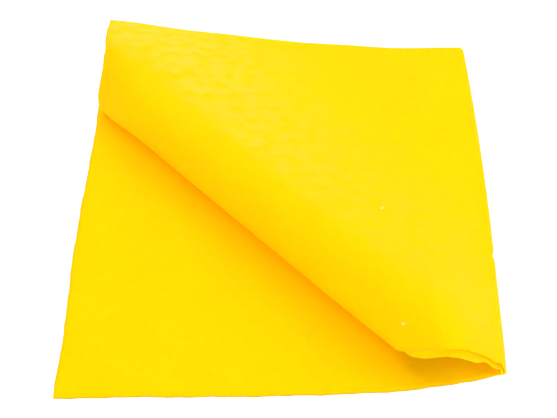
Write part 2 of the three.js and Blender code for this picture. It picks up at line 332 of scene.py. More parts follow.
class FoldedSheet:
    """Formulas of the folded sheet, read once from the property groups."""

    def __init__(self, scene):
        s, r, f = scene.sheet_sizes, scene.roll_sizes, scene.felt_sizes
        self.s, self.r, self.f = s, r, f
        self.pitch = s.thickness + s.gap
        self.lower_middle = s.thickness + s.gap / 2
        self.stack_middle = self.lower_middle + self.pitch
        self.upper_middle = self.stack_middle + self.pitch
        self.inner = s.gap / 2
        self.outer = self.inner + s.thickness
        self.ply = (self.inner + self.outer) / 2
        self.back = s.depth + s.gap / 2
        self.side = s.width + s.gap / 2
        self.spine_start = s.width - SPINE_STRIP
        self.margin = s.width - r.reach
        self.hinge_x = joint("spine_fold")["pos_m"][0]
        self.seam = r.reach - r.seam_reach * math.sqrt(2)
        self.corner = np.array(s.corner)
        self.path_length = 2 * self.back + self.ply * math.pi
        self.cross_length = 2 * self.side + self.pitch * math.pi
        self._sum_roll()

    def _sum_roll(self):
        """The roll's section. Its tangent turns half a turn: from pi under the nose, through a right
        angle at the nose, to zero on top, easing out as a square. Heights and runs are its sums."""
        r, steps = self.r, ROLL_STEPS
        step = (r.top + r.under) / steps
        at = (np.arange(steps) + 0.5) * step - r.under
        left = np.where(at < 0, 1 + at / r.under, 1 - at / r.top)
        bend = math.pi / 2 * np.clip(left, 0, 1) ** 2
        tangent = np.where(at < 0, math.pi - bend, bend)
        self.roll_at = np.arange(steps + 1) * step - r.under
        self.roll_heights = np.concatenate([[0.0], np.cumsum(np.sin(tangent) * step)])
        self.roll_runs = np.concatenate([[0.0], np.cumsum(np.cos(tangent) * step)])

    def roll_offset(self, s):
        """How much further from the fold line a point lies than its distance along the sheet."""
        inside = np.clip(s, -self.r.under, self.r.top)
        return np.interp(s, self.roll_at, self.roll_runs) - self.roll_runs[-1] + self.r.top - np.abs(inside)

    def table_lift(self, x, y):
        """Height of the table side where the front corner at the spine stands up: an eased step
        across times an eased step to the back."""
        across = smooth(1 - (self.s.width - x) / self.s.lift_width)
        return self.s.lift * across * smooth(1 - y / self.s.lift_length)

    def puffed(self, v):
        """How far the spine's upper half stands off the lower one: an eased step to the back."""
        return self.s.puff * smooth(1 - v / self.s.lift_length)

    def rise(self, u):
        """How freely the upper leaf rises beside the spine: an eased step over the run, to a power,
        of a distance that starts as its square and so bends up softly."""
        inside = np.maximum(self.s.width - u, 0)
        run = self.margin * self.r.run
        return smooth(inside**2 / ((inside + self.s.bend) * run)) ** self.r.ease

    def spine_bow(self, u, v):
        """Outward bow of the spine: a parabola along its length that fades as a square across."""
        q = v / self.s.depth
        return self.s.bow * 4 * q * (1 - q) * (u / self.s.width) ** 2

    def lower(self, u, v):
        """Middle surface of the lower leaf: the flat quarter with its bow, its leaning left edge, its
        drawn front edge, its lifted corner and slight ripples, which fade towards both folds."""
        s = self.s
        side_share, back_fade = 1 / 12, 0.025
        q = v / s.depth
        inward = 1 - np.clip(u / s.width, 0, 1)
        x = u + self.spine_bow(u, v) + inward * (s.skew * q - s.wave * np.sin(2 * np.pi * q))
        y = v + s.draw * np.clip(u / s.width, 0, 1) ** self.r.draw_power * (1 - q)
        ripple = uneven(0.8 * u + 0.5 * v, "lower_across") + uneven(0.9 * v - 0.3 * u, "lower_along")
        free = smooth(inward / side_share) * smooth((self.back - v) / back_fade)
        rise = self.f.lower_ripple * (1 + ripple / 2) * free
        x = x + drift("lower_left", v, u)
        y = y + drift("back", u, s.depth - v) + drift("front", u, v)
        return np.stack([x, y, self.lower_middle + self.table_lift(x, y) + rise], -1)

    def upper(self, u, v):
        """Middle surface of the upper leaf. The sheet turns about the diagonal fold line on a cone,
        whose section is the summed tangent above, and comes down behind it by an eased step. Soft
        ripples rise from it, which fade towards the roll's nose and the back fold."""
        s, r = self.s, self.r
        roll_fade, back_fade = 0.02, 0.012
        q = v / s.depth
        inward = 1 - np.clip(u / s.width, 0, 1)
        away = (u + v - r.reach) / math.sqrt(2)
        tight = r.tight * np.clip(1 - u / r.tight_reach, 0, 1) ** 2 * smooth(1 - away / r.tight_fade)
        cone = 1 + r.cone * (u - v) / s.depth - tight
        free = self.rise(u)
        turned = np.where(away < 0, -2 * away, 0) + cone * self.roll_offset(away / cone) * free
        shift = smooth((v - s.shift_start) / s.shift_run) * inward
        drawn = s.draw * np.clip((u - r.reach) / self.margin, 0, 1) ** 2 * (1 - q)
        x = u + s.shift_x * shift + self.spine_bow(u, v) + turned / math.sqrt(2)
        y = v + s.shift_y * shift + drawn + turned / math.sqrt(2)
        x = x + drift("roll_end", away, u)
        y = y + drift("back", u, s.depth - v)
        rest = (2 * self.pitch + r.clear) * smooth((s.depth - v) / (self.margin * r.run))
        settle = smooth((away - r.settle_start) / (r.settle_end - r.settle_start))
        height = np.interp(away / cone, self.roll_at, self.roll_heights)
        risen = cone * height - (cone * self.roll_heights[-1] - rest) * settle
        ripple = uneven(u + 0.35 * v, "upper_across") * uneven(v - 0.4 * u, "upper_along") + 0.5
        soft = self.f.ripple * ripple * smooth(away / roll_fade) * smooth((self.back - v) / back_fade)
        z = self.upper_middle + self.table_lift(x, y) + mix(self.puffed(v), risen + soft, free)
        return np.stack([x, y, z], -1)

    def slopes(self, surface, u, v):
        """Directions along u and v by central differences over a small part of the thickness."""
        near = self.s.thickness / 25
        along_u = surface(u + near, v) - surface(u - near, v)
        along_v = surface(u, v + near) - surface(u, v - near)
        return unit(along_u), unit(along_v)

    def pair(self, leaf, u, v, turn, reach):
        """A point of a leaf's sheet: its middle surface, plus reach times the cosine of the turn
        along the normal away from the other leaf, plus reach times its sine to the back."""
        surface = self.upper if leaf == "upper" else self.lower
        along_u, along_v = self.slopes(surface, u, v)
        normal = unit(np.cross(along_u, along_v)) if leaf == "upper" else np.broadcast_to(-UP, along_u.shape)
        turned = np.cos(turn)[..., None] * normal + np.sin(turn)[..., None] * along_v
        return surface(u, v) + reach * turned + self.corner

    def spine(self, steps, v, turn, reach):
        """A point of the spine: the pair carried round a half circle about the level between the
        leaves. Steps run from -1 to 1. Inside the window they are spaced by height, so that all faces
        reach the hinge's level in the same rows, and beyond it by angle. A bell-shaped nick dents the
        outermost face."""
        window = SPINE_WINDOW
        axis = self.lower(np.full_like(v, self.side), v)
        axis[..., 2] = self.stack_middle + self.table_lift(axis[..., 0], axis[..., 1])
        away = self.pitch + reach * np.cos(turn)
        edge = np.arcsin(np.clip(HINGE_REACH / away, 0, 1))
        near = np.arcsin(np.clip(steps / window * HINGE_REACH / away, -1, 1))
        far = np.sign(steps) * mix(edge, math.pi / 2, np.clip((np.abs(steps) - window) / (1 - window), 0, 1))
        around = np.where(np.abs(steps) <= window, near, far)
        sine, cosine = np.sin(around)[..., None], np.cos(around)[..., None]
        along_u, along_v = self.slopes(self.upper, np.full_like(v, self.side), v)
        upward = UP + (unit(np.cross(along_u, along_v)) - UP) * np.clip(sine, 0, 1)
        nick = self.f.nick * np.exp(-(((v - self.f.nick_place) / self.f.nick_width) ** 2))
        nick = nick * np.clip(np.cos(turn), 0, 1) * (reach - self.inner) / self.s.thickness
        middle = axis + self.pitch * (cosine * OUT + sine * UP) - nick[..., None] * cosine * OUT
        middle = middle + (self.puffed(v) * smooth((steps - window) / (1 - window)))[..., None] * UP
        normal = cosine * OUT + sine * upward
        along_v = along_v * (1 - UP)
        turned = np.cos(turn)[..., None] * normal + np.sin(turn)[..., None] * along_v
        return middle + reach * turned + self.corner

    def path(self):
        """The way round a pair: along the outer ply to the back, half a turn about the back fold and
        along the inner ply to the front. Gives v, the turn, the length along the way and how near a
        row is to the cut edge, as a share."""
        rows, arcs = self.f.across, self.f.arcs
        ahead = np.arange(rows + 1) / rows
        bend = np.arange(1, arcs) / arcs
        first = mix(self.s.proud, self.back, ahead)
        last = mix(self.back, 0.0, ahead)
        v = np.concatenate([first, np.full(arcs - 1, self.back), last])
        turn = np.concatenate([np.zeros(rows + 1), bend * math.pi, np.full(rows + 1, math.pi)])
        along = np.concatenate([first, self.back + bend * math.pi * self.ply, self.path_length - last])
        near = 1 - smooth(ahead / CUT_SHARE)
        near = np.concatenate([near, np.zeros(arcs - 1), near[::-1]])
        return v, turn, along, near

    def squared(self, v, across, turn):
        """Draws the outer half's front edge forwards under and beside the spine, so that the plies end
        nearly together there. It is eased out along the edge, sooner above, and towards the back."""
        back_run = 0.03
        above = across - self.cross_length / 2
        beside = np.abs(above) - self.pitch * math.pi / 2
        pull = 1 - smooth(beside / self.f.square_run)
        pull = self.f.square * pull * (1 - smooth(above / self.f.square_top))
        return v - np.where(turn > math.pi / 2, 0.0, pull * (1 - smooth((v - self.s.proud) / back_run)))

    def front_wobble(self, across, inner):
        """Unevenness of the front cut edges along their length, one for each of the sheet's ends, with
        the upper leaf's slack beside the spine."""
        u, slack = self.cross_length - across, across > self.side
        third, top = (
            self.f.edge_wobble * uneven(across, name) + bells(u, name) * slack
            for name in ("third_front", "top_front")
        )
        return np.where(inner, third, top)

    def front(self, inner):
        """How far the upper leaf's front edge is set back, for each ply."""
        return self.s.setback + (0.0 if inner else self.s.proud)

    def left_wobble(self, along, leaf):
        """Unevenness of a leaf's left cut edge along its length."""
        return self.f.edge_wobble * uneven(along, leaf + "_left")


def boundary(rows, columns):
    """Indices round a grid of rows + 1 by columns + 1 points: first row, last column, last row
    backwards and first column backwards, as row and column numbers."""
    i = [np.zeros(columns, int), np.arange(rows), np.full(columns, rows), np.arange(rows, 0, -1)]
    j = [np.arange(columns), np.full(rows, columns), np.arange(columns, 0, -1), np.zeros(rows, int)]
    return np.concatenate(i), np.concatenate(j)


def rim_direction(middle, kinds):
    """Which way the cut sides of a grid face, at each point, and the kinds of all edges round it."""
    rows, columns = middle.shape[0] - 1, middle.shape[1] - 1
    first_row, last_row, first_column, last_column = (
        np.broadcast_to(kind, size) for kind, size in zip(kinds, (columns, columns, rows, rows))
    )
    outward, tiny = np.zeros_like(middle), 1e-9
    for kind, away, line in (
        (first_row, middle[0] - middle[1], np.s_[0]),
        (last_row, middle[-1] - middle[-2], np.s_[-1]),
        (first_column, middle[:, 0] - middle[:, 1], np.s_[:, 0]),
        (last_column, middle[:, -1] - middle[:, -2], np.s_[:, -1]),
    ):
        cut = kind == CUT
        touched = np.concatenate([[False], cut]) | np.concatenate([cut, [False]])
        size = np.linalg.norm(away, axis=-1, keepdims=True)
        outward[line] += np.where(touched[:, None], away / np.maximum(size, tiny), 0)
    return outward, np.concatenate([first_row, last_column, last_row[::-1], first_column[::-1]])


def shell(outer, inner, place, kinds, bulge):
    """One closed shell of felt between two grids of points. The kinds say how the first and last rows
    and columns end. A cut side's rim has half a superellipse between the faces as its section. Gives
    points, places in the flat sheet, quads and wall flags."""
    rows, columns = outer.shape[0] - 1, outer.shape[1] - 1
    grid = np.arange((rows + 1) * (columns + 1)).reshape(rows + 1, columns + 1)
    top = np.stack([grid[:-1, :-1], grid[1:, :-1], grid[1:, 1:], grid[:-1, 1:]], -1).reshape(-1, 4)
    bottom = top[:, ::-1] + grid.size
    middle, half = (outer + inner) / 2, (outer - inner) / 2
    outward, edges = rim_direction(middle, kinds)
    i, j = boundary(rows, columns)
    ring_half, ring_out = half[i, j], outward[i, j]
    thick = np.linalg.norm(ring_half, axis=-1, keepdims=True)
    ring_out -= ring_half * (ring_out * ring_half).sum(-1, keepdims=True) / thick**2
    turn = math.pi / 2 * (1 - 2 * np.arange(1, RIM_STEPS) / RIM_STEPS)
    up = np.sign(np.sin(turn)) * np.abs(np.sin(turn)) ** RIM_POWER
    out = np.cos(turn) ** RIM_POWER
    rim = middle[i, j] + up[:, None, None] * ring_half + out[:, None, None] * bulge * ring_out
    between = 2 * grid.size + np.arange((RIM_STEPS - 1) * len(i)).reshape(-1, len(i))
    levels = np.concatenate([grid[i, j][None], between, grid[i, j][None] + grid.size])
    following = np.roll(levels, -1, axis=1)
    around = np.stack([levels[:-1], levels[1:], following[1:], following[:-1]], -1)
    keep = edges != JOIN
    walls = np.broadcast_to(edges == WALL, around.shape[:2])[:, keep].reshape(-1)
    points = np.concatenate([outer.reshape(-1, 3), inner.reshape(-1, 3), rim.reshape(-1, 3)])
    depth = thick.mean()
    depths = np.concatenate([np.repeat([depth, -depth], grid.size), np.repeat(up * depth, len(i))])
    flat = place.reshape(-1, 2)
    flat = np.concatenate([flat, flat, np.tile(place[i, j], (RIM_STEPS - 1, 1))])
    places = np.column_stack([flat, depths])
    quads = np.concatenate([top, bottom, around[:, keep].reshape(-1, 4)])
    flags = np.concatenate([np.zeros(2 * len(top), bool), walls])
    return points, places, quads, flags


def leaf_shell(sheet, leaf, grid, kinds):
    """The shell of a grid on one leaf, given as u, v, the turn and the places in the flat sheet."""
    u, v, turn, place = grid
    faces = (sheet.pair(leaf, u, v, turn, reach) for reach in (sheet.outer, sheet.inner))
    return shell(*faces, place, kinds, sheet.f.edge_round)


def painted_sheen_share(sheet, places):
    """Share of painted sheen on the top ply: a paler, slightly blue yellow that stands in for the
    highlight along the roll's crest, with a faint share of it everywhere further back. It is highest a
    little behind the roll, by an eased rise and fall over the distance from the fold line, and fades
    towards the spine and the front."""
    left_start, start, left_width = 0.017, 0.027, 0.04
    rise, fall_start, fall = 0.011, 0.05, 0.06
    fade_share, fade_start, fade_width = 0.8, 0.01, 0.15
    faint_share, faint_start, faint_rise = 0.03, 0.018, 0.02
    u, v = sheet.cross_length - places[:, 0], places[:, 1]
    behind = (u + v - sheet.r.reach) / math.sqrt(2)
    begin = mix(left_start, start, smooth(u / left_width))
    band = smooth((behind - begin) / rise) * (1 - smooth((behind - fall_start) / fall))
    fade = 1 - fade_share * smooth((u - fade_start) / fade_width)
    faint = faint_share * smooth((behind - faint_start) / faint_rise)
    return np.where(v < sheet.back, np.maximum(band * fade, faint), 0.0)


def cut_and_painted_shade(sheet, places):
    """Share of darker felt: on the cut edges, most at half a ply's depth, partly the colour of cut fibre
    ends and partly painted shade, much more on the lower leaf, where it stands in for the contact
    shadow at the table. Softly along the top ply's front edge it is painted shade only, for the shade
    where that edge rounds down onto the ply below. On the upper leaf it ends before the spine."""
    loose_end, loose_run = 0.15, 0.02
    upper_share, spine_share, lower_share, spine_run = 0.12, 0.15, 1.0, 0.008
    step_shade_share, step_shade_width = 0.24, 0.0028
    steepness = 2.2
    across, v = places[:, 0], places[:, 1]
    u = sheet.cross_length - across
    below = sheet.cross_length / 2 - across
    depth = np.abs(places[:, 2]) / np.abs(places[:, 2]).max()
    loose = 1 - smooth((u - loose_end) / loose_run)
    lower = mix(spine_share, lower_share, smooth(below / spine_run))
    # Cut edges: fibre-end colour plus painted shade, much stronger on the lower leaf for the contact shadow
    # at the table.
    cut = np.clip(steepness * (1 - depth), 0, 1) * np.where(below < 0, upper_share * loose, lower)
    front = sheet.front(inner=False)
    corner = sheet.r.reach + sheet.r.panel_reach * math.sqrt(2) - front
    ahead = np.clip((u - corner) / (sheet.spine_start - corner), 0, 1)
    line = mix(front, sheet.s.proud, ahead**sheet.r.curve)
    # Painted shade along the top ply's front edge, where it rounds down onto the ply below.
    pressed = (1 - smooth((v - line) / step_shade_width)) * loose * (below < 0)
    return np.maximum(cut, step_shade_share * pressed)


def store(mesh, name, kind, domain, values):
    """Stores one value for each point, edge or face of a mesh."""
    data = mesh.attributes.new(name, kind, domain).data
    data.foreach_set("vector" if kind == "FLOAT_VECTOR" else "value", values.ravel())


def turn_outwards(mesh, merge):
    """Merges points, where asked to, turns the faces outwards and shades them smoothly."""
    built = bmesh.new()
    built.from_mesh(mesh)
    if merge:
        bmesh.ops.remove_doubles(built, verts=built.verts, dist=MERGE)
    bmesh.ops.recalc_face_normals(built, faces=built.faces)
    built.to_mesh(mesh)
    built.free()
    mesh.shade_smooth()


def new_object(mesh, material):
    """An object in the scene for a finished mesh, with its material."""
    piece = bpy.data.objects.new(mesh.name, mesh)
    bpy.context.scene.collection.objects.link(piece)
    mesh.materials.append(material)
    return piece


def felt_piece(sheet, name, shells):
    """Joins shells into one mesh, merges the points they share, turns the faces outwards and keeps
    the edges of walls sharp, so that the felt shades on smoothly into the next piece."""
    points, places, quads, flags = zip(*shells)
    starts = np.cumsum([0, *(len(some) for some in points[:-1])])
    quads = np.concatenate([some + start for some, start in zip(quads, starts)])
    points, places, flags = (np.concatenate(some) for some in (points, places, flags))
    mesh = bpy.data.meshes.new(name)
    mesh.from_pydata(points, [], quads.tolist())
    store(mesh, "felt_place", "FLOAT_VECTOR", "POINT", places.astype(np.float32))
    # Painted sheen: where the paler yellow stands in for the crest's highlight.
    store(mesh, "felt_painted_sheen", "FLOAT", "POINT", painted_sheen_share(sheet, places).astype(np.float32))
    # Darker cut edges and painted shade, as a share.
    store(mesh, "felt_cut_and_shade", "FLOAT", "POINT", cut_and_painted_shade(sheet, places).astype(np.float32))
    store(mesh, "walled", "BOOLEAN", "FACE", flags)
    turn_outwards(mesh, merge=True)
    walled = np.zeros(len(mesh.polygons), bool)
    mesh.attributes["walled"].data.foreach_get("value", walled)
    totals = np.zeros(len(mesh.polygons), int)
    mesh.polygons.foreach_get("loop_total", totals)
    used = np.zeros(len(mesh.loops), int)
    mesh.loops.foreach_get("edge_index", used)
    sharp = np.zeros(len(mesh.edges), bool)
    sharp[used[np.repeat(walled, totals)]] = True
    store(mesh, "sharp_edge", "BOOLEAN", "EDGE", sharp)
    mesh.attributes.remove(mesh.attributes["walled"])
    mesh.update()
    piece = new_object(mesh, felt_material())
    return piece


def lower_leaf_shell(sheet):
    """The lower leaf as one grid: its rows follow the path round the pair and its columns run from
    the left cut edge to the strip beside the spine."""
    ahead = np.arange(sheet.f.across + 1) / sheet.f.across
    v, turn, along, near = sheet.path()
    across, v = np.meshgrid(sheet.spine_start * ahead, v)
    turn, along, near = (np.broadcast_to(x[:, None], v.shape) for x in (turn, along, near))
    v = sheet.squared(v, across, turn)
    v = v + near * sheet.front_wobble(across, turn > math.pi / 2)
    u = across + (1 - smooth(ahead / CUT_SHARE)) * sheet.left_wobble(along, "lower")
    return leaf_shell(sheet, "lower", (u, v, turn, np.stack([across, along], -1)), (CUT, CUT, CUT, WALL))


def roll_rows(sheet):
    """Distances of the roll's rows from the fold line: close together round the nose."""
    below, above = -0.008, 0.005
    few, many = 6, 20
    return np.concatenate([
        np.linspace(-sheet.r.seam_reach, below, few)[:-1],
        np.linspace(below, above, many)[:-1],
        np.linspace(above, sheet.r.panel_reach, few),
    ])


def diagonal_rows(sheet, away, q, inner):
    """Rows of a grid that run beside the diagonal fold line, at distances away from it, from the left
    edge at q = 0 to the front edge at q = 1. Gives their u and v."""
    reach = sheet.r.reach + away[:, None] * math.sqrt(2)
    return mix(0.0, reach - sheet.front(inner), q), mix(reach, sheet.front(inner), q)


def upper_ply(sheet, inner):
    """One ply of the upper leaf as a grid: rows run from the tucked corner's seam over the roll to the
    back and spine edges, and columns from the left edge, past the back corner at the spine, to the
    front edge. Near the spine the front edge follows a curve instead of a straight line."""
    f, curve = sheet.f, sheet.r.curve
    slack_share = 0.1
    spine_front = 0.0 if inner else sheet.s.proud
    q = np.arange(2 * f.across + 1) / (2 * f.across)
    roll_u, roll_v = diagonal_rows(sheet, roll_rows(sheet), q, inner)
    edge_u = sheet.spine_start * np.clip(2 * q, 0, 1)
    edge_v = np.where(q <= 0.5, sheet.back, mix(sheet.back, spine_front, 2 * q - 1))
    t = (np.arange(1, f.panel_rows + 1) / f.panel_rows)[:, None]
    beside = smooth((q - 1 + slack_share) / slack_share)
    slack = (t - t**curve) * (spine_front - sheet.front(inner)) * beside
    u = np.concatenate([roll_u, mix(roll_u[-1], edge_u, t)])
    v = np.concatenate([roll_v, mix(roll_v[-1], edge_v, t) - slack])
    return wobbled(sheet, u, v, q, inner)


def wobbled(sheet, u, v, q, inner):
    """Moves the cut edges of a grid of the upper leaf by their unevenness. Gives u, v, the turn and
    the places in the flat sheet."""
    fade = CUT_SHARE / 2
    across = sheet.cross_length - u
    along = sheet.path_length - v if inner else v
    turn = np.full_like(u, math.pi if inner else 0.0)
    v = sheet.squared(v, across, turn)
    v = v + (1 - smooth((1 - q) / fade)) * sheet.front_wobble(across, inner)
    u = u + (1 - smooth(q / fade)) * sheet.left_wobble(along, "upper")
    return u, v, turn, np.stack([across, along], -1)


def upper_leaf_shells(sheet):
    """The upper leaf's two plies and the back fold between them, as three grids that share edges."""
    f = sheet.f
    last_row = np.where(np.arange(2 * f.across) < f.across, JOIN, WALL)
    made = [
        leaf_shell(sheet, "upper", upper_ply(sheet, inner), (WALL, last_row, CUT, CUT))
        for inner in (False, True)
    ]
    ahead = np.arange(f.across + 1) / f.across
    bend = np.arange(f.arcs + 1) / f.arcs * math.pi
    u, turn = np.meshgrid(sheet.spine_start * ahead, bend)
    along = sheet.back + turn * sheet.ply
    place = np.stack([sheet.cross_length - u, along], -1)
    u = u + (1 - smooth(ahead / CUT_SHARE)) * sheet.left_wobble(along, "upper")
    grid = (u, np.full_like(u, sheet.back), turn, place)
    return [*made, leaf_shell(sheet, "upper", grid, (JOIN, JOIN, CUT, WALL))]


def spine_shell(sheet, first, last, ends):
    """A stretch of the spine between two rows of the path: a flat strip of the lower leaf, the half
    circle round the hinge's level and a flat strip of the upper leaf, as one grid."""
    strip_points, window_points, bend_points = 4, 13, 9
    strip = np.linspace(sheet.spine_start, sheet.side, strip_points)[:-1]
    window = np.linspace(-SPINE_WINDOW, SPINE_WINDOW, window_points)
    beyond = np.linspace(SPINE_WINDOW, 1, bend_points)[1:]
    steps = np.concatenate([-beyond[::-1], window, beyond])
    width = 2 * len(strip) + len(steps)
    around = sheet.side + (np.arcsin(steps) / math.pi + 0.5) * sheet.pitch * math.pi
    across = np.concatenate([strip, around, sheet.cross_length - strip[::-1]])
    v, turn, along, near = (np.repeat(x[first:last + 1, None], width, axis=1) for x in sheet.path())
    across = np.broadcast_to(across, v.shape)
    v = sheet.squared(v, across, turn)
    v = v + near * sheet.front_wobble(across, turn > math.pi / 2)
    low, bent, high = (
        (np.broadcast_to(columns, v[part].shape), v[part], turn[part])
        for columns, part in (
            (strip, np.s_[:, :len(strip)]),
            (steps, np.s_[:, len(strip):-len(strip)]),
            (strip[::-1], np.s_[:, -len(strip):]),
        )
    )
    faces = []
    for reach in (sheet.outer, sheet.inner):
        lower, upper = sheet.pair("lower", *low, reach), sheet.pair("upper", *high, reach)
        faces.append(np.concatenate([lower, sheet.spine(*bent, reach), upper], axis=1))
    return shell(*faces, np.stack([across, along], -1), (*ends, WALL, WALL), sheet.f.edge_round)


def crease(sheet, near, far):
    """Start and end of the blend of a short spine stretch between two rows of the path. The hinge's
    level there is taken at the ends and the middle, and the blend crosses it at right angles."""
    v = sheet.path()[0][[near, (near + far) // 2, far]]
    v = sheet.squared(v, np.full(3, sheet.cross_length / 2), np.zeros(3))
    line = sheet.lower(np.full(3, sheet.side), v)
    y, level = line[:, 1], sheet.stack_middle + sheet.table_lift(line[:, 0], line[:, 1])
    slope = (level[2] - level[0]) / (y[2] - y[0])
    straight = level[0] + slope * (y[1] - y[0])
    centre = Vector((sheet.hinge_x, y[1] + sheet.corner[1], (level[1] + straight) / 2))
    way = Vector((0.0, -slope, 1.0)).normalized() * HINGE_REACH
    return centre - way, centre + way


def tucked_shell(sheet, inner):
    """One ply of the tucked corner: rows run from the cut tip to the seam under the roll."""
    f, r = sheet.f, sheet.r
    blunt = 0.0004
    tip = (sheet.front(inner) - r.reach) / math.sqrt(2) + blunt
    away = mix(tip, -r.seam_reach, np.arange(f.tuck_rows + 1) / f.tuck_rows)
    q = np.arange(2 * f.across + 1) / (2 * f.across)
    u, v = diagonal_rows(sheet, away, q, inner)
    return leaf_shell(sheet, "upper", wobbled(sheet, u, v, q, inner), (CUT, WALL, CUT, CUT))


def lint_strands(sheet, sizes):
    """Stray fibres as thin tubes. Each fibre's heading on the sheet is a straight turn plus a sine, so
    that it curls, and its height over the felt is half a sine along its length. Rings of five points
    follow it with a radius that shrinks to the ends, and a point closes each end. What differs from
    fibre to fibre is worked out from sines of its number."""
    flecks = np.array([sizes.first, sizes.second, sizes.third, sizes.fourth])
    fibres, shares = (6, 6, 1, 1), (1.0, 1.0, 0.5, 0.5)
    curl, curl_spread, sway, sways = 3.4, 2.4, 1.1, 9
    rest, hop, low = 0.6, 3.0, 0.4
    tip_radius, ring_points = 0.35, 5
    spreading_angle = 2.4
    place = np.repeat(flecks, fibres, axis=0)
    number = np.arange(sum(fibres))
    turn = number * spreading_angle
    t = np.linspace(0, 1, sizes.steps)[None, :]
    curls = (curl + curl_spread * np.sin(number * 1.7))[:, None]
    heading = turn[:, None] + curls * t + sway * np.sin(sways * t + number[:, None])
    ahead = sizes.strand * np.repeat(shares, fibres)[:, None] / sizes.steps
    u = place[:, :1] + sizes.spread * np.cos(turn * 1.9)[:, None] + np.cumsum(np.cos(heading) * ahead, axis=1)
    v = place[:, 1:] + sizes.spread * np.sin(turn * 1.3)[:, None] + np.cumsum(np.sin(heading) * ahead, axis=1)
    hops = mix(low, 1.0, np.sin(number * 2.9)[:, None] ** 2)
    height = sizes.radius * (rest + hop * np.sin(math.pi * t) * hops)
    along_u, along_v = sheet.slopes(sheet.upper, u, v)
    normal = unit(np.cross(along_u, along_v))
    middle = sheet.pair("upper", u, v, np.zeros_like(u), sheet.outer) + height[..., None] * normal
    along = unit(np.gradient(middle, axis=1))
    side = unit(np.cross(normal, along))
    above = np.cross(along, side)
    ring = np.arange(ring_points) / ring_points * 2 * math.pi
    thin = sizes.radius * mix(tip_radius, 1.0, np.sin(math.pi * t)) * np.ones_like(u)
    around = np.cos(ring)[:, None] * side[:, :, None] + np.sin(ring)[:, None] * above[:, :, None]
    rings = middle[:, :, None] + thin[..., None, None] * around
    tips = middle[:, [0, -1]] + along[:, [0, -1]] * sizes.radius * np.array([[-1], [1]])
    return rings, tips


def lint_piece(sheet, sizes):
    """One mesh of all stray fibres: quads between neighbouring rings and triangles at the ends."""
    rings, ends = lint_strands(sheet, sizes)
    fibres, steps, around = rings.shape[:3]
    at = np.arange(fibres * steps * around).reshape(fibres, steps, around)
    following = np.roll(at, -1, axis=2)
    quads = np.stack([at[:, :-1], at[:, 1:], following[:, 1:], following[:, :-1]], -1).reshape(-1, 4)
    tips = at.size + np.arange(fibres * 2).reshape(fibres, 2)
    first = np.stack([np.repeat(tips[:, :1], around, 1), at[:, 0], following[:, 0]], -1).reshape(-1, 3)
    last = np.stack([np.repeat(tips[:, 1:], around, 1), following[:, -1], at[:, -1]], -1).reshape(-1, 3)
    mesh = bpy.data.meshes.new("lint_flecks")
    points = np.concatenate([rings.reshape(-1, 3), ends.reshape(-1, 3)])
    mesh.from_pydata(points, [], [*quads.tolist(), *first.tolist(), *last.tolist()])
    turn_outwards(mesh, merge=False)
    return new_object(mesh, lint_material())


def fill(tree, node, inputs):
    """Sets inputs of a node by name or number: a socket is linked, anything else is a fixed value."""
    for name, value in inputs.items():
        if isinstance(value, bpy.types.NodeSocket):
            tree.links.new(value, node.inputs[name])
        else:
            node.inputs[name].default_value = value


def add(tree, kind, inputs=None, **settings):
    """A new shader node with its settings and inputs. Gives its outputs."""
    node = tree.nodes.new("ShaderNode" + kind)
    for name, value in settings.items():
        setattr(node, name, value)
    fill(tree, node, inputs or {})
    return node.outputs


def calculate(tree, operation, *values, clamp=False):
    """The result of a Math node fed by sockets or numbers."""
    return add(tree, "Math", dict(enumerate(values)), operation=operation, use_clamp=clamp)["Value"]


def weighted(tree, *parts):
    """The sum of sockets, each given with its weight."""
    (value, weight), *others = parts
    total = calculate(tree, "MULTIPLY", value, weight)
    for value, weight in others:
        total = calculate(tree, "MULTIPLY_ADD", value, weight, total)
    return total


def ranged(tree, value, low, high, to_low=0.0, to_high=1.0, way="SMOOTHSTEP"):
    """A value carried from one range to another, eased or along a straight line."""
    inputs = {"Value": value, "From Min": low, "From Max": high, "To Min": to_low, "To Max": to_high}
    return add(tree, "MapRange", inputs, interpolation_type=way)["Result"]


def mix_colour(tree, factor, first, second):
    """The mix of two colours, which may be sockets or fixed colours. Numbers are used for the inputs,
    because a Mix node has inputs of the same names for other kinds of value."""
    factor_input, first_input, second_input, colour_output = 0, 6, 7, 2
    inputs = {factor_input: factor, first_input: first, second_input: second}
    return add(tree, "Mix", inputs, data_type="RGBA")[colour_output]


def stretched(tree, vector, scale, turn=0.0):
    """A place stretched by three factors and turned about the sheet's normal."""
    inputs = {"Vector": vector, "Scale": scale, "Rotation": (0.0, 0.0, turn)}
    return add(tree, "Mapping", inputs)["Vector"]


def noise(tree, vector, name):
    """One of the named noises, read at the given place."""
    values = zip(("Scale", "Detail", "Roughness", "Distortion"), NOISES[name])
    return add(tree, "TexNoise", {"Vector": vector, **dict(values)})["Fac"]


def relief(tree, height, strength, distance):
    """The normal of a surface with the given relief."""
    return add(tree, "Bump", {"Height": height, "Strength": strength, "Distance": distance})["Normal"]


def new_material(name):
    """A material with its node tree and its main shader."""
    material = bpy.data.materials.new(name)
    material.use_nodes = True
    return material, material.node_tree, material.node_tree.nodes["Principled BSDF"]


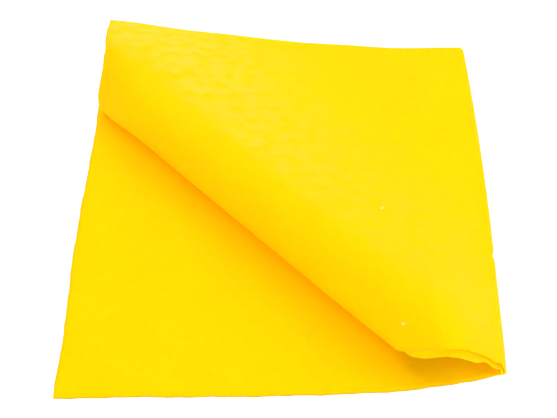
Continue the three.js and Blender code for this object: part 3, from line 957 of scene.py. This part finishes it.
def needled_felt_group():
    """Node group for needle-punched felt, read at a place in the flat sheet in metres. Fine fibres
    are two stretched, distorted noises turned against each other; needle holes are the centres of
    small cells in rows; clouds are soft noises; streaks are long noises along the machine's way;
    mottle is blotches with an eased edge."""
    tree = bpy.data.node_groups.new("needled_felt", "ShaderNodeTree")
    tree.interface.new_socket(name="Place", in_out="INPUT", socket_type="NodeSocketVector")
    tree.interface.new_socket(name="Fibre Scale", in_out="INPUT", socket_type="NodeSocketFloat")
    read = tree.nodes.new("NodeGroupInput").outputs
    sized = {0: read["Place"], "Scale": read["Fibre Scale"]}
    place = add(tree, "VectorMath", sized, operation="SCALE")["Vector"]
    hole_core, hole_rim = 0.10, 0.34
    blotch_low, blotch_high = 0.22, 0.86
    ahead = noise(tree, stretched(tree, place, (1.0, 0.32, 1.0), 0.5), "fibres")
    crossing = noise(tree, stretched(tree, place, (0.3, 1.0, 1.0), -0.35), "crossing_fibres")
    fibres = calculate(tree, "MAXIMUM", ahead, crossing)
    tufts, broad, patches = (noise(tree, place, name) for name in ("tufts", "broad", "patches"))
    rows = {"Vector": stretched(tree, place, (1.0, 0.8, 0.2)), "Scale": 560, "Randomness": 0.72}
    cells = add(tree, "TexVoronoi", rows, feature="F1")
    holes = ranged(tree, cells["Distance"], hole_core, hole_rim, 1.0, 0.0)
    blotches = noise(tree, stretched(tree, place, (0.6, 1.0, 1.0), 0.2), "blotches")
    given = {
        "Height": weighted(tree, (tufts, 0.9), (fibres, 0.55), (holes, -0.35), (patches, 1.1)),
        "Cloud": weighted(tree, (patches, 0.6), (broad, 0.4)),
        "Holes": holes,
        "Streaks": noise(tree, stretched(tree, place, (0.07, 1.0, 1.0)), "streaks"),
        "Mottle": ranged(tree, blotches, blotch_low, blotch_high),
    }
    for name in given:
        tree.interface.new_socket(name=name, in_out="OUTPUT", socket_type="NodeSocketFloat")
    fill(tree, tree.nodes.new("NodeGroupOutput"), given)
    return tree


def felt_material():
    """Yellow needle-punched felt: the dye varies with clouds, streaks and needle holes. Behind the roll a
    paler, slightly blue yellow is laid on as painted sheen, for the highlight along the crest. The cut
    edges are darker, partly as the colour of cut fibre ends and partly as painted shade, most on the
    lower leaf; painted shade also lies along the top ply's front edge. The relief of fibres and holes
    goes to the normal."""
    found = bpy.data.materials.get("yellow_felt")
    if found:
        return found
    look = bpy.context.scene.felt_look
    material, tree, shader = new_material("yellow_felt")
    dye, pale, deep, painted_sheen, cut = ((*c, 1.0) for c in (look.dye, look.pale, look.deep, look.painted_sheen, look.cut))
    place = add(tree, "Attribute", attribute_name="felt_place")["Vector"]
    # Share of painted sheen, read from the points.
    sheen_painted = add(tree, "Attribute", attribute_name="felt_painted_sheen")["Fac"]
    rim = add(tree, "Attribute", attribute_name="felt_cut_and_shade")["Fac"]
    felt = add(tree, "Group", {"Place": place, "Fibre Scale": 1.0}, node_tree=needled_felt_group())
    paler_from, paler_to = 0.45, 0.85
    rougher_from, rougher_to = 0.3, 0.7
    smoother, rougher = look.roughness - 0.14, look.roughness + 0.12
    clouds = calculate(tree, "MULTIPLY_ADD", felt["Streaks"], look.streaks, felt["Cloud"])
    body = mix_colour(tree, ranged(tree, clouds, paler_from, paler_to, way="LINEAR"), dye, pale)
    body = mix_colour(tree, calculate(tree, "MULTIPLY", felt["Holes"], look.holes), body, deep)
    # Painted sheen: the paler yellow, in mottled patches, laid over the dye behind the roll.
    body = mix_colour(tree, calculate(tree, "MULTIPLY", felt["Mottle"], sheen_painted), body, painted_sheen)
    patchy = calculate(tree, "MULTIPLY_ADD", felt["Cloud"], 0.6, 0.7)
    # Share of the cut colour: cut fibre ends and painted shade.
    ends = calculate(tree, "MULTIPLY", patchy, rim, clamp=True)
    rough = ranged(tree, felt["Cloud"], rougher_from, rougher_to, smoother, rougher, way="LINEAR")
    fill(tree, shader, {
        "Base Color": mix_colour(tree, ends, body, cut),
        "Roughness": rough,
        "Normal": relief(tree, felt["Height"], look.relief, look.bump),
        "Specular IOR Level": 0.06,
        "Specular Tint": (1.0, 0.75, 0.1, 1.0),
        "Subsurface Weight": 0.12,
        "Subsurface Radius": (1.0, 0.4, 0.02),
        "Subsurface Scale": 0.0012,
        "Sheen Weight": 0.05,
        "Sheen Roughness": 0.5,
        "Sheen Tint": (1.0, 0.7, 0.02, 1.0),
    })
    return material


def lint_material():
    """Off-white stray fibre: creamier patches by a noise, which is also its slight relief."""
    red, green, blue = bpy.context.scene.felt_look.lint
    material, tree, shader = new_material("white_lint")
    patches = noise(tree, add(tree, "TexCoord")["Object"], "lint")
    pale, cream = (red, green, blue, 1.0), (red, green * 0.94, blue * 0.78, 1.0)
    fill(tree, shader, {
        "Base Color": mix_colour(tree, patches, pale, cream),
        "Normal": relief(tree, patches, 0.4, 0.00002),
        "Roughness": 0.6,
    })
    return material


class FOLDED_CLOTH_OT_lower_leaf(bpy.types.Operator):
    """Build the lower leaf, two plies joined at the back"""

    bl_idname = "folded_cloth.lower_leaf"
    bl_label = "Lower Leaf"

    def execute(self, context):
        sheet = FoldedSheet(context.scene)
        piece = felt_piece(sheet, "lower_leaf_felt", [lower_leaf_shell(sheet)])
        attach(piece, "lower_leaf")
        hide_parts("bottom_panel", "second_panel", "lower_back_fold")
        return {"FINISHED"}


class FOLDED_CLOTH_OT_upper_leaf(bpy.types.Operator):
    """Build the upper leaf with its roll, two plies joined at the back"""

    bl_idname = "folded_cloth.upper_leaf"
    bl_label = "Upper Leaf"

    def execute(self, context):
        sheet = FoldedSheet(context.scene)
        piece = felt_piece(sheet, "upper_leaf_felt", upper_leaf_shells(sheet))
        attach(piece, "upper_leaf")
        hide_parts("third_panel", "top_panel", "upper_back_fold", "inner_roll", "outer_roll")
        return {"FINISHED"}


class FOLDED_CLOTH_OT_spine(bpy.types.Operator):
    """Build the spine, the turn between the two leaves, in stretches"""

    bl_idname = "folded_cloth.spine"
    bl_label = "Spine"

    def execute(self, context):
        sheet = FoldedSheet(context.scene)
        rows, cut, stretches = sheet.f.across, 4, 7
        total = 2 * rows + sheet.f.arcs
        short = cut * stretches
        long_piece = felt_piece(sheet, "spine_felt", [spine_shell(sheet, short, total - short, (WALL, WALL))])
        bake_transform(long_piece)
        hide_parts("outer_spine_lower", "inner_spine_lower",
                    "outer_spine_upper", "inner_spine_upper")
        for k in range(stretches):
            near, far = cut * k, cut * (k + 1)
            ends = (CUT if k == 0 else WALL, WALL)
            piece = felt_piece(sheet, f"spine_felt_front_{k + 1}", [
                spine_shell(sheet, near, far, ends),
                spine_shell(sheet, total - far, total - near, ends[::-1]),
            ])
            start, end = crease(sheet, near, far)
            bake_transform(piece)
        return {"FINISHED"}


class FOLDED_CLOTH_OT_tucked_corner(bpy.types.Operator):
    """Build the corner of both plies that is tucked between the leaves"""

    bl_idname = "folded_cloth.tucked_corner"
    bl_label = "Tucked Corner"

    def execute(self, context):
        sheet = FoldedSheet(context.scene)
        for name, inner, node in (
            ("tucked_corner_inner_felt", True, "inner_tucked_corner"),
            ("tucked_corner_outer_felt", False, "outer_tucked_corner"),
        ):
            piece = felt_piece(sheet, name, [tucked_shell(sheet, inner)])
            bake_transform(piece)
            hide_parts(node)
            leg = sheet.seam - sheet.front(inner)
        return {"FINISHED"}


class FOLDED_CLOTH_OT_lint(bpy.types.Operator):
    """Build the stray pale fibres that lie on the top ply"""

    bl_idname = "folded_cloth.lint"
    bl_label = "Lint"

    def execute(self, context):
        piece = lint_piece(FoldedSheet(context.scene), context.scene.lint_sizes)
        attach(piece, "upper_leaf")
        return {"FINISHED"}


class FOLDED_CLOTH_OT_stage(bpy.types.Operator):
    """Build the white table, the soft lights and the camera"""

    bl_idname = "folded_cloth.stage"
    bl_label = "Stage"

    def execute(self, context):
        scene, sizes = context.scene, context.scene.stage_sizes
        scene.view_settings.view_transform = "Standard"
        make_table_top(sizes)
        scene.world = make_surround(sizes)
        for name, power, place in (
            ("back_left_light", sizes.back_left, (-0.45, 0.75, 1.05)),
            ("back_light", sizes.back, (0.0, 1.15, 0.75)),
            ("right_light", sizes.right, (1.2, 0.1, 0.7)),
            ("front_light", sizes.front, (0.0, -1.2, 0.7)),
            ("high_front_light", sizes.front_high, (0.0, -0.7, 1.2)),
            ("front_left_light", sizes.front_left, (-0.85, -0.75, 0.7)),
        ):
            make_light(name, power, sizes.light_size, place)
        make_camera(scene, sizes)
        return {"FINISHED"}


def make_surround(sizes):
    """A surround that looks white and gives only weak light, because the soft lights do the work."""
    world = bpy.data.worlds.new("white_surround")
    world.use_nodes = True
    tree = world.node_tree
    weak = tree.nodes["Background"]
    fill(tree, weak, {"Color": WHITE, "Strength": sizes.sky})
    seen = add(tree, "Background", {"Color": WHITE, "Strength": 1.0})
    ray = add(tree, "LightPath")["Is Camera Ray"]
    both = add(tree, "MixShader", {"Fac": ray, 1: weak.outputs["Background"], 2: seen["Background"]})
    fill(tree, tree.nodes["World Output"], {"Surface": both["Shader"]})
    return world


def make_table_top(sizes):
    """A white table top under the cloth, which glows faintly so that only close shadows show. Further
    out, by an eased step over the distance from the middle, it goes over into the white surround."""
    clear_start, clear_end = 0.35, 1.1
    half, drop = sizes.table_size, sizes.table_drop
    mesh = bpy.data.meshes.new("table_top")
    corners = [(x * half, y * half, -drop) for x, y in ((-1, -1), (1, -1), (1, 1), (-1, 1))]
    mesh.from_pydata(corners, [], [(0, 1, 2, 3)])
    paint, tree, shader = new_material("white_table")
    fill(tree, shader, {
        "Base Color": (*sizes.floor, 1.0),
        "Roughness": 0.9,
        "Specular IOR Level": 0.1,
        "Emission Color": WHITE,
        "Emission Strength": sizes.floor_glow,
    })
    away = add(tree, "VectorMath", {0: add(tree, "TexCoord")["Object"]}, operation="LENGTH")["Value"]
    ray = add(tree, "LightPath")["Is Camera Ray"]
    clear = calculate(tree, "MULTIPLY", ranged(tree, away, clear_start, clear_end), ray)
    blank = add(tree, "Emission")
    both = add(tree, "MixShader", {"Fac": clear, 1: shader.outputs["BSDF"], 2: blank["Emission"]})
    fill(tree, tree.nodes["Material Output"], {"Surface": both["Shader"]})
    new_object(mesh, paint)


def make_light(name, power, size, place):
    """A square soft light that looks at the cloth's middle."""
    data = bpy.data.lights.new(name, "AREA")
    data.energy, data.size, data.shape = power, size, "SQUARE"
    light = bpy.data.objects.new(name, data)
    light.location = place
    light.rotation_euler = (-Vector(place)).to_track_quat("-Z", "Y").to_euler()
    bpy.context.scene.collection.objects.link(light)


def make_camera(scene, sizes):
    """The photograph's camera: pitched down, then turned and rolled by fractions of a degree."""
    ahead = Vector((
        math.sin(sizes.yaw) * math.cos(sizes.pitch),
        math.cos(sizes.yaw) * math.cos(sizes.pitch),
        -math.sin(sizes.pitch),
    ))
    level = Vector((math.cos(sizes.yaw), -math.sin(sizes.yaw), 0.0))
    down = ahead.cross(level)
    right = math.cos(sizes.roll) * level + math.sin(sizes.roll) * down
    below = -math.sin(sizes.roll) * level + math.cos(sizes.roll) * down
    data = bpy.data.cameras.new("photo_camera")
    data.lens, data.sensor_width = sizes.lens, 36.0
    data.clip_start, data.clip_end = 0.01, 20.0
    camera = bpy.data.objects.new("photo_camera", data)
    turn = Matrix((right, -below, -ahead)).transposed().to_4x4()
    camera.matrix_world = Matrix.Translation(sizes.camera_place) @ turn
    scene.collection.objects.link(camera)
    scene.camera = camera


class FOLDED_CLOTH_PT_panel(bpy.types.Panel):
    """Lists the operators of the folded cloth"""

    bl_idname = "FOLDED_CLOTH_PT_panel"
    bl_label = "Felt Cloth"
    bl_space_type = "VIEW_3D"
    bl_region_type = "UI"
    bl_category = "Felt Cloth"

    def draw(self, context):
        for operator in OPERATORS:
            self.layout.operator(operator.bl_idname)


PROPERTY_GROUPS = {
    "sheet_sizes": SheetSizes,
    "roll_sizes": RollSizes,
    "felt_sizes": FeltSizes,
    "lint_sizes": LintSizes,
    "felt_look": FeltLook,
    "stage_sizes": StageSizes,
}
OPERATORS = (
    FOLDED_CLOTH_OT_lower_leaf,
    FOLDED_CLOTH_OT_upper_leaf,
    FOLDED_CLOTH_OT_spine,
    FOLDED_CLOTH_OT_tucked_corner,
    FOLDED_CLOTH_OT_lint,
    FOLDED_CLOTH_OT_stage,
)


def register():
    """Registers the classes and gives the scene its property groups."""
    for made in (*PROPERTY_GROUPS.values(), *OPERATORS, FOLDED_CLOTH_PT_panel):
        bpy.utils.register_class(made)
    for name, group in PROPERTY_GROUPS.items():
        setattr(bpy.types.Scene, name, PointerProperty(type=group))


def unregister():
    """Takes the property groups and classes out again."""
    for name in PROPERTY_GROUPS:
        delattr(bpy.types.Scene, name)
    for made in (FOLDED_CLOTH_PT_panel, *reversed(OPERATORS), *PROPERTY_GROUPS.values()):
        bpy.utils.unregister_class(made)


def main():
    """Builds every piece and the stage."""
    register()
    bpy.ops.folded_cloth.lower_leaf()
    bpy.ops.folded_cloth.upper_leaf()
    bpy.ops.folded_cloth.spine()
    bpy.ops.folded_cloth.tucked_corner()
    bpy.ops.folded_cloth.lint()
    bpy.ops.folded_cloth.stage()


if __name__ == "__main__":
    main()
